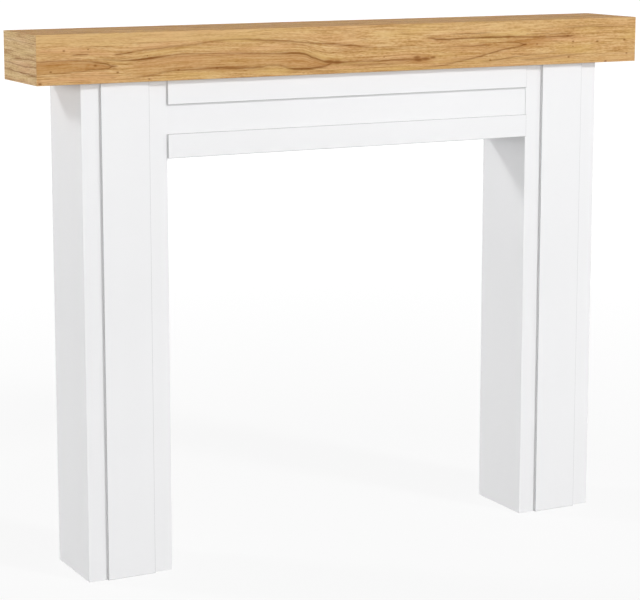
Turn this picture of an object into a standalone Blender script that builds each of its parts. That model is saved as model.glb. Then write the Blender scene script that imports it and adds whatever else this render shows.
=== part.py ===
"""Fireplace mantelpiece of laminated furniture board: an oak box beam across two white square legs,
with a white header panel between them. Metres, +Z up, the front faces -Y.
The origin is on the floor, midway along the beam and midway through its depth."""

import math

import bmesh
import bpy
from mathutils import Vector

# Overall size
OVERALL_HEIGHT = 1.000
BEAM_LENGTH = 1.270
BEAM_HEIGHT = 0.088
BEAM_DEPTH = 0.168

# How far the beam stands past the legs at each end and past their front boards
BEAM_END_OVERHANG = 0.086
BEAM_FRONT_OVERHANG = 0.015

# Legs, and the plain margin at each side of the raised panel
LEG_WIDTH = 0.165
PANEL_MARGIN = 0.036

# Header heights from the beam downwards, and its step back from the legs' front
TOP_STRIP_HEIGHT = 0.044
HEADER_BAND_HEIGHT = 0.053
BOTTOM_STRIP_HEIGHT = 0.044
HEADER_SETBACK = 0.001

# Board thicknesses
BEAM_BOARD = 0.016
LEG_BOARD = 0.016
HEADER_BOARD = 0.016
OVERLAY_BOARD = 0.005

# Softened front edges of the overlay boards
OVERLAY_EDGE_RADIUS = 0.0008
OVERLAY_EDGE_SEGMENTS = 2

# Glue gap between neighbouring boards
JOINT_GAP = 0.0003

# Worked-out places
BEAM_UNDERSIDE = OVERALL_HEIGHT - BEAM_HEIGHT
BACK = BEAM_DEPTH / 2
BEAM_FRONT = -BEAM_DEPTH / 2
LEG_FRONT = BEAM_FRONT + BEAM_FRONT_OVERHANG
LEG_TOP = BEAM_UNDERSIDE - JOINT_GAP
LEG_CENTRE = BEAM_LENGTH / 2 - BEAM_END_OVERHANG - LEG_WIDTH / 2
LEG_INNER_FACE = LEG_CENTRE - LEG_WIDTH / 2

# A mitred edge steps back along its board by this much, so that the two 45 degree faces keep the glue gap
MITRE_STEP = JOINT_GAP / 2 * math.sqrt(2)

# The way each side of a board faces
SIDES = {"left": "-x", "right": "+x", "front": "-y", "back": "+y", "bottom": "-z", "top": "+z"}


def clear_scene():
    for old in list(bpy.data.objects):
        bpy.data.objects.remove(old, do_unlink=True)


def make_collection(name):
    collection = bpy.data.collections.new(name)
    bpy.context.scene.collection.children.link(collection)
    return collection


def make_material(name, colour, roughness):
    material = bpy.data.materials.new(name)
    material.use_nodes = True
    shader = material.node_tree.nodes["Principled BSDF"]
    shader.inputs["Base Color"].default_value = (*colour, 1.0)
    shader.inputs["Roughness"].default_value = roughness
    shader.inputs["Metallic"].default_value = 0.0
    material.diffuse_color = (*colour, 1.0)
    return material


def oak_laminate(name, colour):
    """Golden oak decor paper under a satin melamine skin; each board has its own shade."""
    return make_material(name, colour, 0.5)


def white_laminate(name):
    """Plain white melamine board, silk matt."""
    return make_material(name, (0.80, 0.80, 0.81), 0.45)


def make_group(name, location, collection):
    """An empty that carries the boards of one assembly."""
    group = bpy.data.objects.new(name, None)
    group.location = location
    collection.objects.link(group)
    return group


def axis_and_sign(side):
    """The axis number of a side, and -1 or 1 for the end of that axis it lies at."""
    sign, axis = SIDES[side]
    return "xyz".index(axis), -1 if sign == "-" else 1


def make_board(name, low, high, face, mitres, material, group, collection):
    """A board between two corners given from its group. Its show side is face, and each side named in
    mitres is cut at 45 degrees, so that the hidden face is shorter there by the board's thickness."""
    low, high = Vector(low), Vector(high)
    size = high - low
    face_axis, face_sign = axis_and_sign(face)
    thickness = size[face_axis]
    cube = bmesh.new()
    bmesh.ops.create_cube(cube, size=1.0)
    for corner in cube.verts:
        place = Vector(corner.co[axis] * size[axis] for axis in range(3))
        hidden = corner.co[face_axis] * face_sign < 0
        for side in mitres:
            axis, sign = axis_and_sign(side)
            if corner.co[axis] * sign > 0:
                place[axis] -= sign * (MITRE_STEP + (thickness if hidden else 0.0))
        corner.co = place
    mesh = bpy.data.meshes.new(name)
    cube.to_mesh(mesh)
    cube.free()
    mesh.materials.append(material)
    board = bpy.data.objects.new(name, mesh)
    board.parent = group
    board.location = (low + high) / 2
    collection.objects.link(board)
    return board


def soften_edges(board):
    """The eased arrises of a thin overlay board."""
    bevel = board.modifiers.new("softened edges", "BEVEL")
    bevel.width = OVERLAY_EDGE_RADIUS
    bevel.segments = OVERLAY_EDGE_SEGMENTS
    bevel.limit_method = "ANGLE"


def build_beam(collection):
    """A hollow box of five boards, mitred wherever two show faces meet and open at the wall."""
    group = make_group("beam", (0, 0, BEAM_UNDERSIDE), collection)
    end = BEAM_LENGTH / 2
    board = BEAM_BOARD
    shelf_oak = oak_laminate("oak_shelf", (0.54, 0.29, 0.09))
    fascia_oak = oak_laminate("oak_fascia", (0.56, 0.33, 0.13))
    end_oak = oak_laminate("oak_end", (0.56, 0.37, 0.18))
    # name, low corner, high corner, show side, mitred sides, material
    boards = (
        ("beam_top_board", (-end, BEAM_FRONT, BEAM_HEIGHT - board), (end, BACK, BEAM_HEIGHT),
         "top", ("front", "left", "right"), shelf_oak),
        ("beam_bottom_board", (-end, BEAM_FRONT, 0), (end, BACK, board),
         "bottom", ("front", "left", "right"), shelf_oak),
        ("beam_front_board", (-end, BEAM_FRONT, 0), (end, BEAM_FRONT + board, BEAM_HEIGHT),
         "front", ("top", "bottom", "left", "right"), fascia_oak),
        ("beam_left_end_board", (-end, BEAM_FRONT, 0), (-end + board, BACK, BEAM_HEIGHT),
         "left", ("top", "bottom", "front"), end_oak),
        ("beam_right_end_board", (end - board, BEAM_FRONT, 0), (end, BACK, BEAM_HEIGHT),
         "right", ("top", "bottom", "front"), end_oak),
    )
    for name, low, high, face, mitres, material in boards:
        make_board(name, low, high, face, mitres, material, group, collection)


def build_leg(hand, outward, material, collection):
    """A three-sided leg, open at the wall, with a raised panel down its front.
    outward is -1 for the left leg and 1 for the right one."""
    leg = f"{hand}_leg"
    group = make_group(leg, (outward * LEG_CENTRE, LEG_FRONT, 0), collection)
    half = LEG_WIDTH / 2
    depth = BACK - LEG_FRONT
    make_board(f"{leg}_front_board", (-half, 0, 0), (half, LEG_BOARD, LEG_TOP),
               "front", ("left", "right"), material, group, collection)
    for side, sign in (("outer", outward), ("inner", -outward)):
        low_x, high_x = sorted((sign * half, sign * (half - LEG_BOARD)))
        face = "right" if sign > 0 else "left"
        make_board(f"{leg}_{side}_side", (low_x, 0, 0), (high_x, depth, LEG_TOP),
                   face, ("front",), material, group, collection)
    panel_half = half - PANEL_MARGIN
    panel = make_board(f"{leg}_overlay_panel", (-panel_half, -OVERLAY_BOARD, 0),
                       (panel_half, -JOINT_GAP, LEG_TOP), "front", (), material, group, collection)
    soften_edges(panel)


def build_header(material, collection):
    """The front board between the legs, the soffit over the fire opening mitred to its lower edge,
    and two raised strips along the front board's top and bottom."""
    front = LEG_FRONT + HEADER_SETBACK
    group = make_group("header", (0, front, LEG_TOP), collection)
    reach = LEG_INNER_FACE - JOINT_GAP
    height = TOP_STRIP_HEIGHT + HEADER_BAND_HEIGHT + BOTTOM_STRIP_HEIGHT
    make_board("header_board", (-reach, 0, -height), (reach, HEADER_BOARD, 0),
               "front", ("bottom",), material, group, collection)
    make_board("header_soffit_board", (-reach, 0, -height), (reach, BACK - front, -height + HEADER_BOARD),
               "bottom", ("front",), material, group, collection)
    strips = (
        ("header_top_strip", -TOP_STRIP_HEIGHT, 0),
        ("header_bottom_strip", -height, -height + BOTTOM_STRIP_HEIGHT),
    )
    for name, bottom, top in strips:
        strip = make_board(name, (-reach, -OVERLAY_BOARD, bottom), (reach, -JOINT_GAP, top),
                           "front", (), material, group, collection)
        soften_edges(strip)


def main():
    clear_scene()
    collection = make_collection("fireplace_mantelpiece")
    build_beam(collection)
    for hand, outward in (("left", -1), ("right", 1)):
        build_leg(hand, outward, white_laminate(f"white_{hand}_leg"), collection)
    build_header(white_laminate("white_header"), collection)


main()
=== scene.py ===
# %% [markdown]
# # A fireplace mantelpiece in golden oak and white
# The real thing is flat-pack furniture: sheets of particleboard with a printed skin pressed on, sawn to
# size and glued into hollow boxes. Two stand up as legs, one lies across them as the mantel shelf, and a
# white header with a soffit of its own closes the gap between the legs under the beam.
#
# The measured solids come first and stay the ruler for everything else. The sizes of every board are
# read from them, so nothing here has to be fitted by eye.

# %% Load the measured model
import math

import bmesh
import bpy
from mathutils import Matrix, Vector


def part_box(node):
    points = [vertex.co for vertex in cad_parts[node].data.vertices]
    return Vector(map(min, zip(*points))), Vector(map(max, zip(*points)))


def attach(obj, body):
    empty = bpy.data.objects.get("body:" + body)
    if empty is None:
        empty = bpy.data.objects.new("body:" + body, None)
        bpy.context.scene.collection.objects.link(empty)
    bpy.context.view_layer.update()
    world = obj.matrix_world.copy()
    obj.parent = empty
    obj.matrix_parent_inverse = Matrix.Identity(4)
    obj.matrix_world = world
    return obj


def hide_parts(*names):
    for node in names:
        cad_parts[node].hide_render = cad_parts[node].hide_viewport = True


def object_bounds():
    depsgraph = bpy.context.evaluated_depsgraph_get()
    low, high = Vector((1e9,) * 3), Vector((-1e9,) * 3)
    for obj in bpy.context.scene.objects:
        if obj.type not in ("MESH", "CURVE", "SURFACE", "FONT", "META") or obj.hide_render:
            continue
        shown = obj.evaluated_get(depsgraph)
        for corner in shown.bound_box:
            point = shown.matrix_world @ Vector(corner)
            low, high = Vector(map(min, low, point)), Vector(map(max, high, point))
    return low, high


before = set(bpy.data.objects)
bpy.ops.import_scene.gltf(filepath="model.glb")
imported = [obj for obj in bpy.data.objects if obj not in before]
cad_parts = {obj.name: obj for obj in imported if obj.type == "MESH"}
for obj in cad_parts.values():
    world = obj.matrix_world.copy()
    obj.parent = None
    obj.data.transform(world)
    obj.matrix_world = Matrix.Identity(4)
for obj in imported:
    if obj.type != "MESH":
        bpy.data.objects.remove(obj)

cad_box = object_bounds()
scene = bpy.context.scene
print("boards:", len(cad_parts), "overall size:", tuple(round(s, 4) for s in cad_box[1] - cad_box[0]))

# %% [markdown]
# ## One helper for nodes, one for colours
# A Blender material is a small graph. Instead of writing a function for every kind of node, one function
# adds any node: its properties are keyword arguments, and `inputs` fills its sockets. A socket that is
# handed another node's output is linked, and anything else is set as a plain value.
#
# Colours are written as sRGB hex, the way a paint chart or a photo gives them. The renderer counts in
# linear light, so one function turns hex to linear. The numbers in it are the sRGB standard's own.


# %% Node and colour helpers
def add(tree, kind, inputs=None, **settings):
    node = tree.nodes.new("ShaderNode" + kind)
    for name, value in settings.items():
        setattr(node, name, value)
    for socket, value in (inputs or {}).items():
        if isinstance(value, bpy.types.NodeSocket):
            tree.links.new(value, node.inputs[socket])
        else:
            node.inputs[socket].default_value = value
    return node


def linear(hex_colour):
    """An sRGB hex colour such as C69D67 as a linear RGBA tuple."""
    channels = [int(hex_colour[i:i + 2], 16) / 255 for i in (0, 2, 4)]
    return tuple(c / 12.92 if c <= 0.04045 else ((c + 0.055) / 1.055) ** 2.4 for c in channels) + (1.0,)


def fill_ramp(ramp, stops):
    """Sets a colour ramp's stops from a list of (position, hex colour)."""
    while len(ramp.elements) > 1:
        ramp.elements.remove(ramp.elements[-1])
    for index, (position, colour) in enumerate(stops):
        element = ramp.elements[0] if index == 0 else ramp.elements.new(position)
        element.position = position
        element.color = linear(colour)


def start_material(name):
    """A new material and its node tree, with only the Principled shader and the output in it."""
    material = bpy.data.materials.new(name)
    material.use_nodes = True
    return material, material.node_tree, material.node_tree.nodes["Principled BSDF"]


print("a middle oak tone in linear light:", [round(c, 3) for c in linear("C69D67")[:3]])

# %% [markdown]
# ## The camera
# The photo is taken from the left and a little above the shelf, through a long lens. Its uprights are
# all parallel, which a photographer gets by keeping the camera level and sliding the lens down. A slide
# that large would push the piece out of the picture as soon as the camera walks round it, so most of it
# is traded here for a gentle downward tilt, and only a small slide is kept. The place, tilt and focal
# length below bring the corners as close to their places in the photo as that slide allows, with the
# piece whole inside the frame. Its uprights lean together a little towards the floor.

# %% Camera
MM = 0.001
IMAGE_WIDTH = 640
SENSOR_WIDTH = 36.0
FOCAL_PIXELS = 2061.4
LENS_SLIDE = -0.10
# mm to the left of the piece's middle, out from the legs' front and up from the floor
CAMERA_LEFT, CAMERA_OUT, CAMERA_UP = 1860, 3396, 1223
# degrees
TURN_RIGHT = 27.75
TILT_DOWN = 9.14
leg_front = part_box("left_leg_front_board")[0][1]

camera_data = bpy.data.cameras.new("camera")
camera_data.sensor_width = SENSOR_WIDTH
camera_data.lens = FOCAL_PIXELS / IMAGE_WIDTH * SENSOR_WIDTH
camera_data.shift_y = LENS_SLIDE
camera = bpy.data.objects.new("camera", camera_data)
scene.collection.objects.link(camera)
camera.location = (-CAMERA_LEFT * MM, leg_front - CAMERA_OUT * MM, CAMERA_UP * MM)
camera.rotation_euler = (math.radians(90 - TILT_DOWN), 0, math.radians(-TURN_RIGHT))
scene.camera = camera
print("focal length:", round(camera_data.lens, 1), "mm")

# %% [markdown]
# ## How a board is made
# Each box is folded from boards whose long edges are sawn at 45 degrees, so that two printed faces meet
# at a clean corner and no raw edge shows. Such a board isn't a plain cuboid: its hidden face is shorter
# than its show face by one thickness at every mitred edge.
#
# The shape is a loft. Starting at the show face, each step goes a little deeper and gives one rectangle,
# and each side of that rectangle is drawn in by its own rule: a mitred side by as much as the depth, a
# square side not at all. A small rounding, as sanding and foil leave on a real edge, takes two more steps
# at each face. All of it follows from the thickness and the radius, so it fits any board.

# %% The steps of the loft
AXES = "xyz"
FACES = {"left": "-x", "right": "+x", "front": "-y", "back": "+y", "bottom": "-z", "top": "+z"}
ARC_MIDDLE = 1 - math.cos(math.radians(45))
ROUNDING_STEPS = 2
BOARD_THICKNESS = 16 * MM
EDGE_RADIUS = 0.5 * MM
OVERLAY_RADIUS = 0.8 * MM


def axis_and_sign(face):
    sign, axis = FACES[face]
    return AXES.index(axis), -1 if sign == "-" else 1


def loft_steps(thickness, radius):
    """(depth, how far a square side is drawn in, how far a mitred side is) from show face to hidden face."""
    near, far = radius * ARC_MIDDLE, thickness - radius * ARC_MIDDLE
    return (
        (0, radius, radius),
        (near, near, near),
        (radius, 0, radius),
        (thickness - radius, 0, thickness - radius),
        (far, near, far),
        (thickness, radius, thickness),
    )


example = loft_steps(BOARD_THICKNESS, EDGE_RADIUS)
print("loft steps of a 16 mm board, in mm:", [[round(s / MM, 2) for s in step] for step in example])

# %% [markdown]
# The rectangles become rings of four corners, and the rings are joined into a closed skin. The object's
# origin is its low corner, so that the materials can measure from there. The rounding round the show face
# is called the arris, as joiners do, and it may have a material of its own: on the raised boards a greyer
# white, which is painted shade along their edges.


# %% A board from its box
def make_board(name, low, high, show_face, mitred, radius, material, arris=None):
    """A board between two corners of the room, as an object with its origin at its low corner.
    arris is the material of the rounding round its show face, where that differs."""
    face_axis, face_sign = axis_and_sign(show_face)
    u, v = [axis for axis in range(3) if axis != face_axis]
    thickness = high[face_axis] - low[face_axis]
    start = high[face_axis] if face_sign > 0 else low[face_axis]
    face_at = {axis_and_sign(face): face for face in FACES}
    mesh = bmesh.new()
    rings = []
    for depth, square_inset, mitre_inset in loft_steps(thickness, radius):
        inset = {
            key: mitre_inset if face_at[key] in mitred else square_inset
            for key in ((u, -1), (u, 1), (v, -1), (v, 1))
        }
        ring = []
        for u_sign, v_sign in ((-1, -1), (1, -1), (1, 1), (-1, 1)):
            place = [0.0, 0.0, 0.0]
            place[face_axis] = start - face_sign * depth
            for axis, sign in ((u, u_sign), (v, v_sign)):
                edge = high[axis] if sign > 0 else low[axis]
                place[axis] = edge - sign * inset[axis, sign]
            ring.append(mesh.verts.new(Vector(place) - Vector(low)))
        rings.append(ring)
    for step, (near, far) in enumerate(zip(rings, rings[1:])):
        for corner in range(4):
            following = (corner + 1) % 4
            side = mesh.faces.new((near[corner], near[following], far[following], far[corner]))
            if arris and step < ROUNDING_STEPS:
                side.material_index = 1
    mesh.faces.new(rings[0])
    mesh.faces.new(rings[-1])
    bmesh.ops.recalc_face_normals(mesh, faces=mesh.faces)
    data = bpy.data.meshes.new(name)
    mesh.to_mesh(data)
    mesh.free()
    data.materials.append(material)
    if arris:
        data.materials.append(arris)
    board = bpy.data.objects.new(name, data)
    board.location = low
    scene.collection.objects.link(board)
    return board


print("rings in a board:", len(example), "and steps in its arris:", ROUNDING_STEPS)

# %% [markdown]
# ## White melamine board
# The legs and the header are particleboard under a white melamine skin. The skin is a resin-soaked paper
# pressed against a steel plate with a faint pearl texture, about half a millimetre from bump to bump. To
# the eye that gives an even, cool white with a soft silky sheen and no mirror image.
#
# Melamine has an index of refraction near 1.5 and no metal in it. Roughness is in the middle of the scale,
# where a reflection is only a glow. The pearl is a bump, far too faint to be seen as orange peel. It keeps
# its real size, which is finer than a pixel here, so from a distance it only evens out the sheen. The tone
# wanders by about one part in a hundred, as pressed sheets do.
#
# Thin grey lines run along the raised panels and strips. Part of that is real shadow from the lamps. The
# rest is painted shade: the rounded arrises of those boards get the same melamine in a greyer shade, which
# darkens the line along each edge.

# %% White melamine
MELAMINE_IOR = 1.5
# mm from one pearl bump to the next, and across a patch of one tone
PEARL_SPACING = 0.6
TONE_SPACING = 350.0
PEARL_ROUGHNESS = (0.42, 0.5)
PEARL_STRENGTH = 0.08
PEARL_HEIGHT = 0.02
WHITE_TONES = ((0.3, "E5E5E6"), (0.7, "E8E8E9"))
# a greyer white for the raised boards' arrises: painted shade along their edges
ARRIS_SHADE_TONES = ((0.3, "A9A9AA"), (0.7, "AFAFB0"))


def make_white_melamine(name, stops):
    material, tree, shader = start_material(name)
    millimetres = add(tree, "Mapping", {"Scale": (1 / MM,) * 3})
    tree.links.new(add(tree, "TexCoord").outputs["Object"], millimetres.inputs["Vector"])
    place = millimetres.outputs[0]
    tone = add(tree, "TexNoise", {"Vector": place, "Scale": 1 / TONE_SPACING, "Detail": 2.0})
    shade = add(tree, "ValToRGB", {"Fac": tone.outputs["Fac"]})
    fill_ramp(shade.color_ramp, stops)
    tree.links.new(shade.outputs["Color"], shader.inputs["Base Color"])
    pearl = add(tree, "TexNoise", {"Vector": place, "Scale": 1 / PEARL_SPACING, "Detail": 1.0}).outputs["Fac"]
    smooth, rough = PEARL_ROUGHNESS
    sheen = add(tree, "MapRange", {"Value": pearl, "To Min": smooth, "To Max": rough})
    tree.links.new(sheen.outputs["Result"], shader.inputs["Roughness"])
    bump = add(tree, "Bump", {"Height": pearl, "Strength": PEARL_STRENGTH, "Distance": PEARL_HEIGHT * MM})
    tree.links.new(bump.outputs["Normal"], shader.inputs["Normal"])
    shader.inputs["IOR"].default_value = MELAMINE_IOR
    return material


white_melamine = make_white_melamine("white_melamine", WHITE_TONES)
white_arris_painted_shade = make_white_melamine("white_arris_painted_shade", ARRIS_SHADE_TONES)
print("white melamine nodes:", len(white_melamine.node_tree.nodes))

# %% [markdown]
# ## Golden oak decor
# The beam isn't timber either: its skin is a printed oak picture under clear melamine. A print repeats
# what a sawn plank shows, so it is drawn here the way a plank grows.
#
# - Fibres run along the board. They are noise stretched thirty to fifty times longer than it is wide.
# - Growth layers are a few long dark lines that bend, meet and part. Each is a curve along the beam,
#   given by a few places in real millimetres: from the beam's left end, and up from its underside.
# - Between some lines the wood is browner, which gives the pointed flame figures, and along the top edge
#   it is paler.
# - Pin knots are small dark specks at given places, and a few larger spots, brown or dark, lie along the
#   figure.
#
# A Float Curve node is a good pen for the lines. It turns the distance along the beam into the height of
# the line there, and a second curve turns it into how dark the line is, so a line can fade in and out.

# %% The beam's measures
beam_boards = [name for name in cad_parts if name.startswith("beam_")]
beam_low = Vector(min(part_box(name)[0][axis] for name in beam_boards) for axis in range(3))
beam_high = Vector(max(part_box(name)[1][axis] for name in beam_boards) for axis in range(3))
BEAM_LENGTH = (beam_high.x - beam_low.x) / MM
BEAM_HEIGHT = (beam_high.z - beam_low.z) / MM
BEAM_DEPTH = (beam_high.y - beam_low.y) / MM
print("beam:", round(BEAM_LENGTH), "x", round(BEAM_DEPTH), "x", round(BEAM_HEIGHT), "mm")

# %% The figure on the beam's front
# Each line: its half width, then (mm from the left end, mm above the underside, darkness 0 to 1)
FIGURE_LINES = {
    "upper": (1.6, ((0, 48, 0), (120, 51, 0), (189, 54.6, 0.35), (251, 60.5, 0.6), (300, 63.2, 0.45),
                    (371, 69.6, 0.5), (439, 66.8, 0.7), (524, 59.6, 0.65), (616, 51.8, 0.7),
                    (667, 46, 0.35), (740, 45, 0.2), (820, 46, 0))),
    "middle": (1.9, ((0, 47, 0), (100, 44.5, 0.1), (126, 42.5, 0.45), (171, 38.6, 0.75), (206, 40.6, 0.9),
                     (243, 43.9, 0.7), (286, 46.5, 0.55), (371, 44.6, 0.55), (467, 41.5, 0.7),
                     (504, 41, 0.75), (541, 31, 0.9), (590, 21, 1), (620, 20.8, 0.6), (681, 20.8, 0.7),
                     (747, 20.6, 0.8), (800, 20, 0))),
    "lower": (2.0, ((0, 4, 0), (150, 6, 0), (211, 10.4, 0.4), (257, 17.5, 0.45), (323, 19, 0.7),
                    (344, 19.2, 0.9), (429, 17.5, 0.8), (453, 20.4, 0.5), (493, 13.2, 0.75),
                    (516, 11, 0.95), (564, 14.6, 0.85), (590, 21, 1), (600, 17.5, 0.3), (640, 15, 0.5),
                    (700, 14, 0.4), (760, 14, 0))),
    "left_flame_top": (1.5, ((0, 41, 0.5), (63, 42.5, 0.6), (86, 40.4, 0.6), (106, 38.2, 0.7),
                             (129, 34, 0.85), (146, 29.6, 1), (152, 29.4, 0))),
    "left_flame_bottom": (1.2, ((0, 20, 0.1), (60, 21, 0.4), (86, 23.2, 0.5), (114, 25, 0.55),
                                (131, 26, 0.8), (146, 29.6, 1), (152, 29.4, 0))),
    "right_flame_top": (1.1, ((880, 47, 0), (902, 47.6, 0.3), (930, 48, 0.45), (959, 46.8, 0.55),
                              (990, 45.2, 0.8), (1007, 41.5, 1), (1011, 41.5, 0))),
    "right_flame_bottom": (1.4, ((740, 2, 0), (796, 4.6, 0.35), (859, 14, 0.6), (896, 19.6, 0.8),
                                 (921, 25.4, 0.85), (944, 30.4, 0.9), (967, 34.6, 0.75), (996, 38.2, 0.8),
                                 (1007, 41.5, 1), (1011, 41.5, 0))),
    "shake": (1.5, ((770, 61, 0), (790, 60, 0.6), (810, 57, 0.9), (887, 57.2, 0.95), (940, 57.6, 1),
                    (1001, 56, 0.85), (1059, 54.4, 0.8), (1106, 55, 0.9), (1120, 55.6, 0.35),
                    (1160, 56.5, 0))),
    "shake_above": (1.0, ((810, 65, 0), (840, 65.2, 0.3), (901, 65.6, 0.7), (925, 66, 0.4), (950, 66, 0),
                          (1000, 62, 0), (1020, 61.5, 0.35), (1080, 60.8, 0.55), (1107, 60.4, 0.6),
                          (1120, 60.3, 0))),
    "short_right": (1.1, ((820, 42, 0.3), (860, 42, 0.5), (890, 42, 0.8), (924, 42.6, 0.45), (945, 42.6, 0))),
    "low_right": (1.2, ((890, 10, 0), (912, 11.2, 0.4), (959, 15, 0.6), (1001, 19, 0.6), (1044, 21.6, 0.4),
                        (1100, 24, 0.15), (1150, 25, 0))),
    "lowest_right": (1.5, ((990, 11, 0), (1012, 11.8, 0.5), (1064, 14.2, 0.5), (1107, 17.5, 0.5),
                           (1150, 18.5, 0.2), (1230, 16.8, 0.15), (1270, 16.2, 0.4))),
    "top_right": (0.9, ((1060, 71, 0), (1100, 73, 0.2), (1144, 72.8, 0.5), (1210, 72, 0.35), (1250, 73, 0))),
    "wisp_left": (1.2, ((60, 51.5, 0), (75, 52, 0.8), (94, 52.2, 0.7), (100, 52, 0), (138, 49.8, 0),
                        (148, 50.3, 0.8), (165, 51.6, 1), (182, 54, 0.7), (188, 55, 0))),
    "wisp_upper_left": (0.9, ((85, 64, 0), (100, 64.6, 0.35), (135, 64.8, 0.35), (150, 64.6, 0))),
    "low_left": (0.9, ((0, 16.5, 0.3), (60, 15.5, 0.3), (130, 14, 0.3), (160, 13, 0), (165, 7, 0),
                       (190, 9, 0.35), (230, 13.5, 0.5), (262, 18.2, 0.4), (275, 18.6, 0))),
}
print("figure lines:", len(FIGURE_LINES))

# %% Patches and knots on the beam's front
# Browner wood: the line above it, the line below it, and its strength as (mm from the left end, 0 to 1)
BROWN_PATCHES = (
    ("left_flame_top", "left_flame_bottom", ((0, 0.9), (70, 0.8), (110, 0.9), (140, 0.7), (148, 0.0))),
    ("middle", "lower", ((160, 0.0), (200, 0.45), (300, 0.5), (420, 0.5), (500, 0.65), (560, 0.9),
                         (588, 1.0), (594, 0.0))),
    ("right_flame_top", "right_flame_bottom", ((780, 0.0), (840, 0.35), (900, 0.4), (990, 0.55),
                                               (1008, 0.0))),
)
# Paler wood: from this height to beyond the top edge, so that it doesn't fade out there
PALE_BOTTOM = 68.0
PALE_TOP = BEAM_HEIGHT + 10
PALE_ALONG = ((0, 0.9), (300, 1.0), (460, 0.7), (600, 0.2), (700, 0.3), (830, 0.8), (1000, 0.5), (1270, 0.2))
# Pin knots and flecks: (mm from the left end, mm above the underside, half length in mm)
PIN_KNOTS = (
    (51, 59.4, 3.0), (96, 60.4, 2.2), (26, 23.6, 3.2), (151, 18.5, 3.2), (6, 3.4, 4.0), (211, 4.6, 2.5),
    (268, 18.5, 3.2), (344, 19.4, 3.8), (208, 46, 2.0), (109, 32, 3.8), (944, 30.6, 2.0), (926, 13.2, 3.5),
    (1034, 41, 2.8), (1119, 43.6, 3.5), (1177, 42.2, 3.8), (1243, 43.5, 3.8), (1249, 16.4, 3.2),
    (1198, 2.0, 3.8), (1106, 55, 4.0), (1109, 13.2, 3.5), (1119, 34, 2.2), (516, 11, 3.5), (690, 27, 2.0),
)
PIN_SLIMNESS = 1.7
# Larger spots: (mm from the left end, mm above the underside, half length in mm, slimness)
BROWN_SPOTS = ((772, 20, 34, 3.4), (350, 20, 60, 9.0), (108, 33, 20, 3.6), (575, 22, 26, 3.4),
               (1012, 44, 60, 5.0))
DARK_KNOTS = ((762, 24, 9, 2.4), (766, 19, 11, 3.0), (781, 21, 12, 3.2), (797, 23, 8, 3.0), (590, 21, 9, 2.0),
              (573, 23, 12, 3.4))
print("pin knots:", len(PIN_KNOTS), "larger spots:", len(BROWN_SPOTS) + len(DARK_KNOTS))

# %% [markdown]
# Every mark is a mask that runs from 0, untouched, to 1, darkest, and the strongest one wins at each
# point. A line has a thin dark core with a soft brown edge, as the dense late wood of one year's growth
# has. Two lines can hold a patch of browner wood between them, and a knot is a soft spot.


# %% Drawing a line with nodes
CORE_HALO = 4.0
HALO_STRENGTH = 0.22


def pen_curve(tree, share, reach, points, height):
    """A Float Curve along a board of length reach. points are (mm along, value), and height is the value
    that 1 stands for."""
    pen = add(tree, "FloatCurve", {"Value": share})
    curve = pen.mapping.curves[0]
    places = [(along / reach, value / height) for along, value in points]
    if places[0][0] > 0:
        places.insert(0, (0.0, places[0][1]))
    if places[-1][0] < 1:
        places.append((1.0, places[-1][1]))
    curve.points[0].location = places[0]
    curve.points[1].location = places[-1]
    for place in places[1:-1]:
        curve.points.new(*place)
    pen.mapping.update()
    return pen.outputs[0]


def bell(tree, offset, width):
    """1 on the line, falling off to 0 over about two widths."""
    ratio = add(tree, "Math", {0: offset, 1: width}, operation="DIVIDE").outputs[0]
    square = add(tree, "Math", {0: ratio, 1: ratio}, operation="MULTIPLY").outputs[0]
    falling = add(tree, "Math", {0: square, 1: -1.0}, operation="MULTIPLY").outputs[0]
    return add(tree, "Math", {0: falling}, operation="EXPONENT").outputs[0]


def draw_line(tree, share, reach, across, line):
    """A dark line: returns its mask, and its height along the board in mm."""
    half_width, points = line
    place = pen_curve(tree, share, reach, [(along, up) for along, up, dark in points], BEAM_HEIGHT)
    dark = pen_curve(tree, share, reach, [(along, dark) for along, up, dark in points], 1.0)
    height = add(tree, "Math", {0: place, 1: BEAM_HEIGHT}, operation="MULTIPLY").outputs[0]
    offset = add(tree, "Math", {0: across, 1: height}, operation="SUBTRACT").outputs[0]
    core = bell(tree, offset, half_width)
    halo = bell(tree, offset, half_width * CORE_HALO)
    shape = add(tree, "Math", {0: halo, 1: HALO_STRENGTH, 2: core}, operation="MULTIPLY_ADD").outputs[0]
    return add(tree, "Math", {0: shape, 1: dark}, operation="MULTIPLY").outputs[0], height


print("a line's halo is", CORE_HALO, "times as wide as its core")

# %% Drawing patches and specks with nodes
# mm over which a patch fades in from its lines
PATCH_EDGE = 3.0
# as parts of a speck's half length: fully dark to here, and gone from there on
SPECK_CORE = 0.2
SPECK_EDGE = 1.3


def fill_between(tree, share, reach, across, top, bottom, strength):
    """Other wood between two heights, as strong along the board as the strength points say."""
    from_top = add(tree, "Math", {0: top, 1: across}, operation="SUBTRACT").outputs[0]
    from_bottom = add(tree, "Math", {0: across, 1: bottom}, operation="SUBTRACT").outputs[0]
    nearest = add(tree, "Math", {0: from_top, 1: from_bottom}, operation="MINIMUM").outputs[0]
    inside = add(tree, "MapRange", {"Value": nearest, "From Min": 0.0, "From Max": PATCH_EDGE}).outputs[0]
    along = pen_curve(tree, share, reach, strength, 1.0)
    return add(tree, "Math", {0: inside, 1: along}, operation="MULTIPLY").outputs[0]


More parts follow.
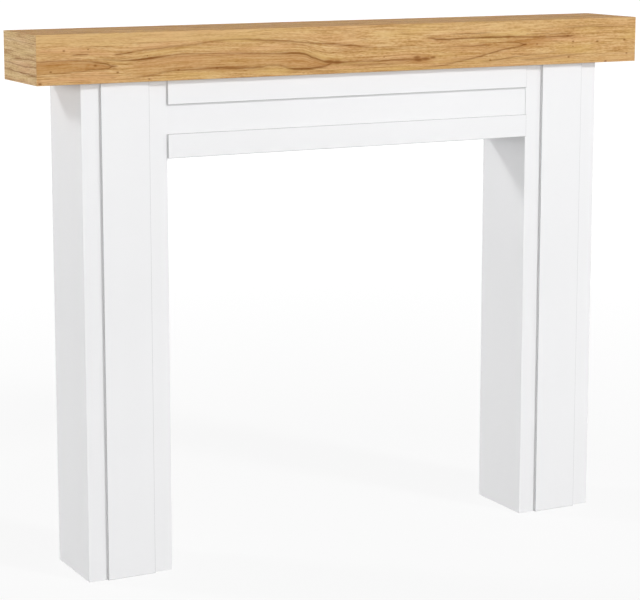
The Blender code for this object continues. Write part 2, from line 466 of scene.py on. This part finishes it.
def draw_speck(tree, place, along, up, half_length, slimness):
    """A soft dark spot, slimness times longer along the grain than across it."""
    centre = add(tree, "VectorMath", {0: place, 1: (along, up, 0)}, operation="SUBTRACT").outputs[0]
    size = (1 / half_length, slimness / half_length, 0)
    scaled = add(tree, "VectorMath", {0: centre, 1: size}, operation="MULTIPLY").outputs[0]
    far = add(tree, "VectorMath", {0: scaled}, operation="LENGTH").outputs["Value"]
    ends = {"Value": far, "From Min": SPECK_EDGE, "From Max": SPECK_CORE}
    return add(tree, "MapRange", ends, interpolation_type="SMOOTHSTEP").outputs[0]


def strongest(tree, masks):
    """The largest of several masks at each point."""
    top = masks[0]
    for mask in masks[1:]:
        top = add(tree, "Math", {0: top, 1: mask}, operation="MAXIMUM").outputs[0]
    return top


print("a patch fades in over", PATCH_EDGE, "mm")

# %% [markdown]
# ## The grain itself
# The shelf, the front and the ends are printed with different pictures of the same wood, so one set of
# layers serves them all. Each layer is a noise stretched along the grain, and its number picks a picture
# of its own out of the endless noise.
#
# Real fibres are about a tenth of a millimetre wide, far below one pixel, so they are drawn coarser:
# fine ones of 2.1 mm, streaks of 4.2 mm and bands of 15 mm. Pores are short dark dashes, and flecks give
# the print its sparkle along the grain. A broad layer turns the wood pinker in one place and yellower in
# another. One more makes the whole grain wander, and a last one makes the drawn lines tremble, since no
# line in wood is as smooth as a curve.

# %% Layers of the grain
# length and width of a patch in mm, how much finer detail lies in it, and the layer's number
GRAIN_LAYERS = {
    "wander": (260.0, 60.0, 1.0, 0),
    "fibre": (60.0, 2.1, 2.0, 1),
    "fleck": (9.0, 1.8, 2.0, 2),
    "streak": (220.0, 4.2, 2.0, 3),
    "band": (480.0, 15.0, 2.0, 4),
    "tremble": (24.0, 7.0, 1.0, 5),
    "growth": (620.0, 26.0, 1.0, 6),
    "growth_patch": (220.0, 4.2, 2.0, 7),
    "pore": (15.0, 1.3, 1.0, 8),
    "tint": (170.0, 16.0, 1.0, 9),
}
# mm that the grain wanders and a drawn line trembles, up or down
WANDER_REACH = 7.0
TREMBLE_REACH = 1.4


def grain_layer(tree, where, layer, seed):
    """The noise of one layer, in the picture that the seed picks."""
    length, width, detail, number = GRAIN_LAYERS[layer]
    patch = (1 / length, 1 / width, 1 / width)
    stretched = add(tree, "VectorMath", {0: where, 1: patch}, operation="MULTIPLY")
    settings = {"Vector": stretched.outputs[0], "Scale": 1.0, "Detail": detail, "W": seed + number}
    return add(tree, "TexNoise", settings, noise_dimensions="4D").outputs["Fac"]


def sway(tree, value, reach, by):
    """value moved up and down by as much as reach, as the noise by says."""
    step = add(tree, "MapRange", {"Value": by, "To Min": -reach, "To Max": reach}).outputs[0]
    return add(tree, "Math", {0: value, 1: step}, operation="ADD").outputs[0]


def where_noise(tree, noise, start, full):
    """A mask that is 0 where the noise is at start and 1 where it has come to full."""
    return add(tree, "MapRange", {"Value": noise, "From Min": start, "From Max": full}).outputs[0]


def stain(tree, colour, mask, strength, hex_colour):
    """The colour turned towards another one where the mask says."""
    factor = add(tree, "Math", {0: mask, 1: strength}, operation="MULTIPLY", use_clamp=True).outputs[0]
    mixed = add(tree, "Mix", {0: factor, 6: colour, 7: linear(hex_colour)}, data_type="RGBA")
    return mixed.outputs[2]


print("layers of the grain:", len(GRAIN_LAYERS))

# %% [markdown]
# The wood's own tone is a weighted sum of four layers, sent through a ramp of five oak colours. The pink
# and yellow tints come on top of it, and then growth lines that nobody placed: they are the contour lines
# of a very stretched noise, which close into the same pointed shapes as real cathedral grain does. They
# show in patches only, or the board would look ruled. The pores come last.

# %% Plain oak
FIBRE_WEIGHT, STREAK_WEIGHT, BAND_WEIGHT, FLECK_WEIGHT = 1.35, 0.45, 0.4, 0.8
ALL_WEIGHTS = 3.0
PINK_RANGE = (0.52, 0.72)
YELLOW_RANGE = (0.48, 0.28)
TINT_STRENGTH = 0.55
# growth lines: how many contour steps the noise is cut into, half of one step, and half a line's width
CONTOURS, HALF_STEP, HALF_LINE = 14.0, 0.5, 0.1
GROWTH_RANGE = (0.42, 0.6)
PORE_RANGE = (0.6, 0.75)
PORE_STRENGTH = 0.5
DARK_GRAIN = "7F4C18"
BROWN_GRAIN = "A87236"
PALE_GRAIN = "D6B47C"


def plain_oak(tree, grain, fibres, pores, seed, stops, tints, growth_strength):
    """The colour of the oak before any figure is drawn on it."""
    layers = (
        (fibres, FIBRE_WEIGHT),
        (grain_layer(tree, grain, "streak", seed), STREAK_WEIGHT),
        (grain_layer(tree, grain, "band", seed), BAND_WEIGHT),
        (grain_layer(tree, grain, "fleck", seed), FLECK_WEIGHT),
    )
    tone = 0.0
    for part, weight in layers:
        tone = add(tree, "Math", {0: part, 1: weight, 2: tone}, operation="MULTIPLY_ADD").outputs[0]
    mean = add(tree, "Math", {0: tone, 1: ALL_WEIGHTS}, operation="DIVIDE").outputs[0]
    wood = add(tree, "ValToRGB", {"Fac": mean})
    fill_ramp(wood.color_ramp, stops)
    colour = wood.outputs["Color"]

    tint = grain_layer(tree, grain, "tint", seed)
    for (start, full), hex_colour in zip((PINK_RANGE, YELLOW_RANGE), tints):
        colour = stain(tree, colour, where_noise(tree, tint, start, full), TINT_STRENGTH, hex_colour)

    growth = grain_layer(tree, grain, "growth", seed)
    contours = add(tree, "Math", {0: growth, 1: CONTOURS}, operation="MULTIPLY").outputs[0]
    from_line = add(tree, "Math", {0: contours, 1: HALF_STEP}, operation="PINGPONG").outputs[0]
    on_line = where_noise(tree, from_line, HALF_LINE, 0.0)
    patchy = where_noise(tree, grain_layer(tree, grain, "growth_patch", seed), *GROWTH_RANGE)
    growth_mask = add(tree, "Math", {0: on_line, 1: patchy}, operation="MULTIPLY").outputs[0]
    colour = stain(tree, colour, growth_mask, growth_strength, DARK_GRAIN)
    return stain(tree, colour, where_noise(tree, pores, *PORE_RANGE), PORE_STRENGTH, DARK_GRAIN)


print("the fibres' share of the tone:", round(FIBRE_WEIGHT / ALL_WEIGHTS, 2))

# %% [markdown]
# The drawn figure is laid over that oak: the pale band and the brown wood first, then the dark lines, and
# the knots last. The lines are broken up by the fibres, as a print of real wood shows them. On the front
# the fibres part above and below the middle line, and so the whole grain bends with it.

# %% Laying the figure over the oak
PALE_STRENGTH, BROWN_STRENGTH, LINE_STRENGTH, KNOT_STRENGTH = 0.35, 0.6, 0.95, 0.8
# a line is strongest where the fibres are dark, and weakest where they are light
DARK_FIBRE, STRONG_LINE = 0.3, 1.15
LIGHT_FIBRE, WEAK_LINE = 0.7, 0.55
# how many mm of fibres lie below the middle line, and how many above it
FIBRES_BELOW, FIBRES_ABOVE = 40.0, 48.0


def part_round(tree, rise, middle):
    """Height on the board, counted so that the middle line runs straight."""
    below = {"Value": rise, "From Min": 0.0, "From Max": middle, "To Max": FIBRES_BELOW}
    above = {"Value": rise, "From Min": middle, "From Max": BEAM_HEIGHT, "To Max": FIBRES_ABOVE}
    lower_half = add(tree, "MapRange", below).outputs[0]
    upper_half = add(tree, "MapRange", above).outputs[0]
    return add(tree, "Math", {0: lower_half, 1: upper_half}, operation="ADD").outputs[0]


def lay_patches(tree, colour, share, reach, across, place, heights):
    """The pale band, the brown patches between the lines and the larger brown spots."""
    pale = fill_between(tree, share, reach, across, PALE_TOP, PALE_BOTTOM, PALE_ALONG)
    colour = stain(tree, colour, pale, PALE_STRENGTH, PALE_GRAIN)
    brown = [
        fill_between(tree, share, reach, across, heights[top], heights[bottom], strength)
        for top, bottom, strength in BROWN_PATCHES
    ]
    brown += [draw_speck(tree, place, *spot) for spot in BROWN_SPOTS]
    return stain(tree, colour, strongest(tree, brown), BROWN_STRENGTH, BROWN_GRAIN)


def lay_lines(tree, colour, masks, fibres):
    """The dark lines, broken up by the fibres."""
    fade = {"From Min": DARK_FIBRE, "To Min": STRONG_LINE, "From Max": LIGHT_FIBRE, "To Max": WEAK_LINE}
    broken = add(tree, "MapRange", {"Value": fibres, **fade}).outputs[0]
    figure = add(tree, "Math", {0: strongest(tree, masks), 1: broken}, operation="MULTIPLY").outputs[0]
    return stain(tree, colour, figure, LINE_STRENGTH, DARK_GRAIN)


def lay_knots(tree, colour, place):
    """The pin knots and the larger dark knots."""
    knots = [draw_speck(tree, place, *knot, PIN_SLIMNESS) for knot in PIN_KNOTS]
    knots += [draw_speck(tree, place, *knot) for knot in DARK_KNOTS]
    return stain(tree, colour, strongest(tree, knots), KNOT_STRENGTH, DARK_GRAIN)


print("fibres below and above the middle line:", FIBRES_BELOW, FIBRES_ABOVE, "mm")

# %% [markdown]
# Now the whole material. It measures in millimetres from the board's low corner, and `along` and `across`
# say which way the board lies. The clear skin over the print is satin, since such skins are pressed matt.
# It is a little rougher than half, changes with the fibres, and has faint dents at the pores. `shine` says
# how much of the usual mirror part is left, and it is small on every board.

# %% Golden oak
OAK_ROUGHNESS = (0.5, 0.66)
PORE_BUMP = 0.15
PORE_DEPTH = 0.05


def make_golden_oak(name, along, across, seed, stops, tints, reach, lines, growth_strength, shine,
                    figured=False):
    material, tree, shader = start_material(name)
    from_corner = add(tree, "TexCoord").outputs["Object"]
    millimetres = add(tree, "VectorMath", {0: from_corner, 1: (1 / MM,) * 3}, operation="MULTIPLY").outputs[0]
    axes = add(tree, "SeparateXYZ", {0: millimetres})
    depth = next(axis for axis in "XYZ" if axis not in (along, across))
    run, rise, deep = axes.outputs[along], axes.outputs[across], axes.outputs[depth]
    place = add(tree, "CombineXYZ", {0: run, 1: rise, 2: deep}).outputs[0]
    share = add(tree, "Math", {0: run, 1: reach}, operation="DIVIDE").outputs[0]

    unsteady = sway(tree, rise, TREMBLE_REACH, grain_layer(tree, place, "tremble", seed))
    masks, heights = [], {}
    for line_name, line in lines.items():
        mask, heights[line_name] = draw_line(tree, share, reach, unsteady, line)
        masks.append(mask)

    level = part_round(tree, rise, heights["middle"]) if figured else rise
    flow = add(tree, "CombineXYZ", {0: run, 1: level, 2: deep}).outputs[0]
    swayed = sway(tree, level, WANDER_REACH, grain_layer(tree, flow, "wander", seed))
    grain = add(tree, "CombineXYZ", {0: run, 1: swayed, 2: deep}).outputs[0]
    fibres, pores = grain_layer(tree, grain, "fibre", seed), grain_layer(tree, grain, "pore", seed)

    colour = plain_oak(tree, grain, fibres, pores, seed, stops, tints, growth_strength)
    if figured:
        colour = lay_patches(tree, colour, share, reach, unsteady, place, heights)
    if masks:
        colour = lay_lines(tree, colour, masks, fibres)
    if figured:
        colour = lay_knots(tree, colour, place)
    tree.links.new(colour, shader.inputs["Base Color"])

    smooth, rough = OAK_ROUGHNESS
    sheen = add(tree, "MapRange", {"Value": fibres, "To Min": smooth, "To Max": rough}).outputs[0]
    tree.links.new(sheen, shader.inputs["Roughness"])
    bump = add(tree, "Bump", {"Height": pores, "Strength": PORE_BUMP, "Distance": -PORE_DEPTH * MM})
    tree.links.new(bump.outputs["Normal"], shader.inputs["Normal"])
    shader.inputs["IOR"].default_value = MELAMINE_IOR
    shader.inputs["Specular IOR Level"].default_value = shine
    return material


print("oak roughness:", OAK_ROUGHNESS)

# %% [markdown]
# The end boards and the shelf carry a calmer picture than the front. The ends show six thin lines that
# slope a little, and the shelf has growth lines only. The three pictures differ in shade as well, as
# separate sheets of one decor do, and each has its own pink and yellow.

# %% The three oak pictures
# Each line as on the front, but its first number counts from the beam's front edge
END_LINES = {
    "long_upper": (0.9, ((0, 32, 0.55), (50, 30, 0.7), (110, 32, 0.65), (168, 33, 0.5))),
    "long_lower": (1.1, ((0, 17, 0.6), (60, 18, 0.7), (110, 19, 0.6), (168, 20.5, 0.6))),
    "middle": (0.9, ((0, 43, 0.5), (60, 43, 0.6), (100, 42, 0.6), (125, 40, 0.2), (168, 38, 0))),
    "faint": (0.8, ((0, 53, 0.4), (40, 52.5, 0.4), (65, 51, 0.2), (90, 50, 0), (168, 50, 0))),
    "top": (0.8, ((0, 72, 0.3), (80, 73, 0.35), (168, 75, 0.4))),
    "foot": (0.8, ((0, 4, 0.3), (70, 3, 0.4), (168, 2, 0.25))),
}
# Each ramp from dark to light
FRONT_OAK = ((0.37, "986A34"), (0.445, "B68A50"), (0.5, "C69D67"), (0.555, "D0AC77"), (0.63, "D8B986"))
SHELF_OAK = ((0.4, "8E5D29"), (0.46, "AE7C3F"), (0.5, "C3904B"), (0.54, "D0A35E"), (0.6, "E2BC7A"))
END_OAK = ((0.38, "9A7142"), (0.45, "B7925F"), (0.5, "C6A574"), (0.55, "D1B384"), (0.62, "DCC399"))
oak_front = make_golden_oak(
    "golden_oak_front", along="X", across="Z", seed=3.0, stops=FRONT_OAK, tints=("CF9F70", "CBA763"),
    reach=BEAM_LENGTH, lines=FIGURE_LINES, growth_strength=0.25, shine=0.2, figured=True,
)
oak_shelf = make_golden_oak(
    "golden_oak_shelf", along="X", across="Y", seed=17.0, stops=SHELF_OAK, tints=("C2804F", "C8A452"),
    reach=BEAM_LENGTH, lines={}, growth_strength=0.5, shine=0.05,
)
oak_end = make_golden_oak(
    "golden_oak_end", along="Y", across="Z", seed=31.0, stops=END_OAK, tints=("D0A37C", "CFB37C"),
    reach=BEAM_DEPTH, lines=END_LINES, growth_strength=0.2, shine=0.1,
)
print("nodes in the front's oak:", len(oak_front.node_tree.nodes))

# %% [markdown]
# ## Laying the boards
# Now every board is laid where its measured solid is. The solids keep a glue gap at their mitres, and a
# finished corner is closed, so a mitred side is taken out to the corner of its whole box. The header's
# boards keep a glue gap at the legs too, and are taken out to the legs' inner faces. Each finished board
# then stands in for its solid: the solid is hidden and goes on doing its work in the physics.

# %% How each board is cut and finished
# The show face, and the sides sawn at 45 degrees. A board that isn't named faces the front, all square.
MITRES = {
    "beam_top_board": ("top", ("front", "left", "right")),
    "beam_bottom_board": ("bottom", ("front", "left", "right")),
    "beam_front_board": ("front", ("top", "bottom", "left", "right")),
    "beam_left_end_board": ("left", ("top", "bottom", "front")),
    "beam_right_end_board": ("right", ("top", "bottom", "front")),
    "left_leg_front_board": ("front", ("left", "right")),
    "left_leg_outer_side": ("left", ("front",)),
    "left_leg_inner_side": ("right", ("front",)),
    "right_leg_front_board": ("front", ("left", "right")),
    "right_leg_outer_side": ("right", ("front",)),
    "right_leg_inner_side": ("left", ("front",)),
    "header_board": ("front", ("bottom",)),
    "header_soffit_board": ("bottom", ("front",)),
}
# Material and slot. A board that isn't named is white.
FINISH = {
    "beam_top_board": (oak_shelf, "oak_shelf"),
    "beam_bottom_board": (oak_shelf, "oak_shelf"),
    "beam_front_board": (oak_front, "oak_fascia"),
    "beam_left_end_board": (oak_end, "oak_end"),
    "beam_right_end_board": (oak_end, "oak_end"),
}
print("boards with mitres:", len(MITRES), "and in oak:", len(FINISH))


# %% Lay every board
def box_of(names):
    """The box round several solids."""
    boxes = [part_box(name) for name in names]
    low = Vector(min(box[0][axis] for box in boxes) for axis in range(3))
    high = Vector(max(box[1][axis] for box in boxes) for axis in range(3))
    return low, high


def folded_with(name):
    """The boards glued to this one at its mitres."""
    family = name.rsplit("_", 2)[0] if "leg" in name else name.split("_")[0]
    return [other for other in MITRES if other.startswith(family)]


left_leg_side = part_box("left_leg_inner_side")[1][0]
right_leg_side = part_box("right_leg_inner_side")[0][0]
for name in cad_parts:
    low, high = (Vector(corner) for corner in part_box(name))
    show_face, mitred = MITRES.get(name, ("front", ()))
    for side in mitred:
        axis, sign = axis_and_sign(side)
        whole_low, whole_high = box_of(folded_with(name))
        if sign > 0:
            high[axis] = whole_high[axis]
        else:
            low[axis] = whole_low[axis]
    if name.startswith("header"):
        low.x, high.x = left_leg_side, right_leg_side
    overlay = "overlay" in name or "strip" in name
    radius = OVERLAY_RADIUS if overlay else EDGE_RADIUS
    material, slot = FINISH.get(name, (white_melamine, "white_board"))
    # the raised boards' arrises take the greyer white, which is painted shade along their edges
    arris = white_arris_painted_shade if overlay else None
    board = make_board(name + "_finished", low, high, show_face, mitred, radius, material, arris)
    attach(board, "root")
    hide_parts(name)
print("boards laid:", len(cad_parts))

# %% [markdown]
# ## Studio
# The photo is lit almost evenly, and most of the light comes in low from all round, as between white
# studio walls. So the dome is bright near the horizon and dim overhead. A large lamp far away at the
# front right draws the short shadows under the beam and beside the raised panels. A weaker one behind on
# the left brightens the faces turned that way, and leaves the slanting shadows at the top of the legs.
#
# The floor is like a light table: nearly all its white is its own glow, so the shadows on it stay faint,
# and the glow grows with the distance, so that the floor fades into the dome at the horizon. A real white
# floor would throw much light up at the white boards, and they would lose their shape. So the boards
# don't see it: below the horizon they see the dome, which stands for a grey floor there.

# %% Floor
FLOOR_REACH = 2000.0
FLOOR_PAINT = "505050"
FLOOR_ROUGHNESS = 0.9
# metres from the middle, and the glow there
GLOW_NEAR = (0.8, 0.89)
GLOW_FAR = (6.0, 1.05)
floor_mesh = bpy.data.meshes.new("floor")
floor_edit = bmesh.new()
bmesh.ops.create_grid(floor_edit, x_segments=1, y_segments=1, size=FLOOR_REACH)
floor_edit.to_mesh(floor_mesh)
floor_edit.free()
floor = bpy.data.objects.new("floor", floor_mesh)
scene.collection.objects.link(floor)
floor.visible_diffuse = False
floor.visible_glossy = False
floor.visible_shadow = False
floor_paint, floor_tree, floor_shader = start_material("pale_floor")
floor_place = add(floor_tree, "TexCoord").outputs["Object"]
from_middle = add(floor_tree, "VectorMath", {0: floor_place}, operation="LENGTH")
floor_glow = add(floor_tree, "MapRange", {
    "Value": from_middle.outputs["Value"],
    "From Min": GLOW_NEAR[0], "To Min": GLOW_NEAR[1],
    "From Max": GLOW_FAR[0], "To Max": GLOW_FAR[1],
})
floor_tree.links.new(floor_glow.outputs[0], floor_shader.inputs["Emission Color"])
floor_shader.inputs["Emission Strength"].default_value = 1.0
floor_shader.inputs["Base Color"].default_value = linear(FLOOR_PAINT)
floor_shader.inputs["Roughness"].default_value = FLOOR_ROUGHNESS
floor_shader.inputs["Specular IOR Level"].default_value = 0.0
floor_mesh.materials.append(floor_paint)
print("floor glow from", GLOW_NEAR[1], "to", GLOW_FAR[1])

# %% Dome
# height as the sine of the angle above the horizon, and brightness
DOME = ((-1.0, 0.43), (-0.02, 0.43), (-0.005, 3.2), (0.19, 3.2), (0.23, 0.2), (1.0, 0.2))
world = bpy.data.worlds.new("studio")
world.use_nodes = True
scene.world = world
sky = world.node_tree
up = add(sky, "SeparateXYZ", {0: add(sky, "TexCoord").outputs["Generated"]}).outputs["Z"]
glow = add(sky, "ValToRGB", {"Fac": add(sky, "MapRange", {"Value": up, "From Min": -1.0}).outputs[0]})
while len(glow.color_ramp.elements) < len(DOME):
    glow.color_ramp.elements.new(1.0)
for element, (height, brightness) in zip(glow.color_ramp.elements, DOME):
    element.position = (height + 1) / 2
    element.color = (brightness, brightness, brightness, 1.0)
sky.links.new(glow.outputs["Color"], sky.nodes["Background"].inputs["Color"])
sky.nodes["Background"].inputs["Strength"].default_value = 1.0
print("dome stops:", len(DOME))

# %% Lamps
# degrees to the right of straight ahead, and above the horizon
FRONT_LAMP_TURN, FRONT_LAMP_RISE = 29, 34
# this direction follows the edge of the shadow at the top of the left leg's side
BACK_LAMP_TOWARDS = (-1, 0.9, 0.767)


def hang_lamp(name, brightness, towards, distance, diameter):
    """A round lamp that looks at the middle of the piece and gives it this brightness."""
    data = bpy.data.lights.new(name, "AREA")
    data.shape = "DISK"
    data.size = diameter
    data.energy = brightness * math.pi * distance ** 2
    lamp = bpy.data.objects.new(name, data)
    scene.collection.objects.link(lamp)
    direction = Vector(towards).normalized()
    lamp.location = (cad_box[0] + cad_box[1]) / 2 + direction * distance
    lamp.rotation_euler = direction.to_track_quat("Z", "Y").to_euler()


turn, rise = math.radians(FRONT_LAMP_TURN), math.radians(FRONT_LAMP_RISE)
front_right = (math.sin(turn) * math.cos(rise), -math.cos(turn) * math.cos(rise), math.sin(rise))
hang_lamp("front_right_lamp", brightness=1.56, towards=front_right, distance=12.0, diameter=1.65)
hang_lamp("back_left_lamp", brightness=1.06, towards=BACK_LAMP_TOWARDS, distance=10.0, diameter=1.55)
scene.view_settings.view_transform = "Standard"
scene.view_settings.look = "None"
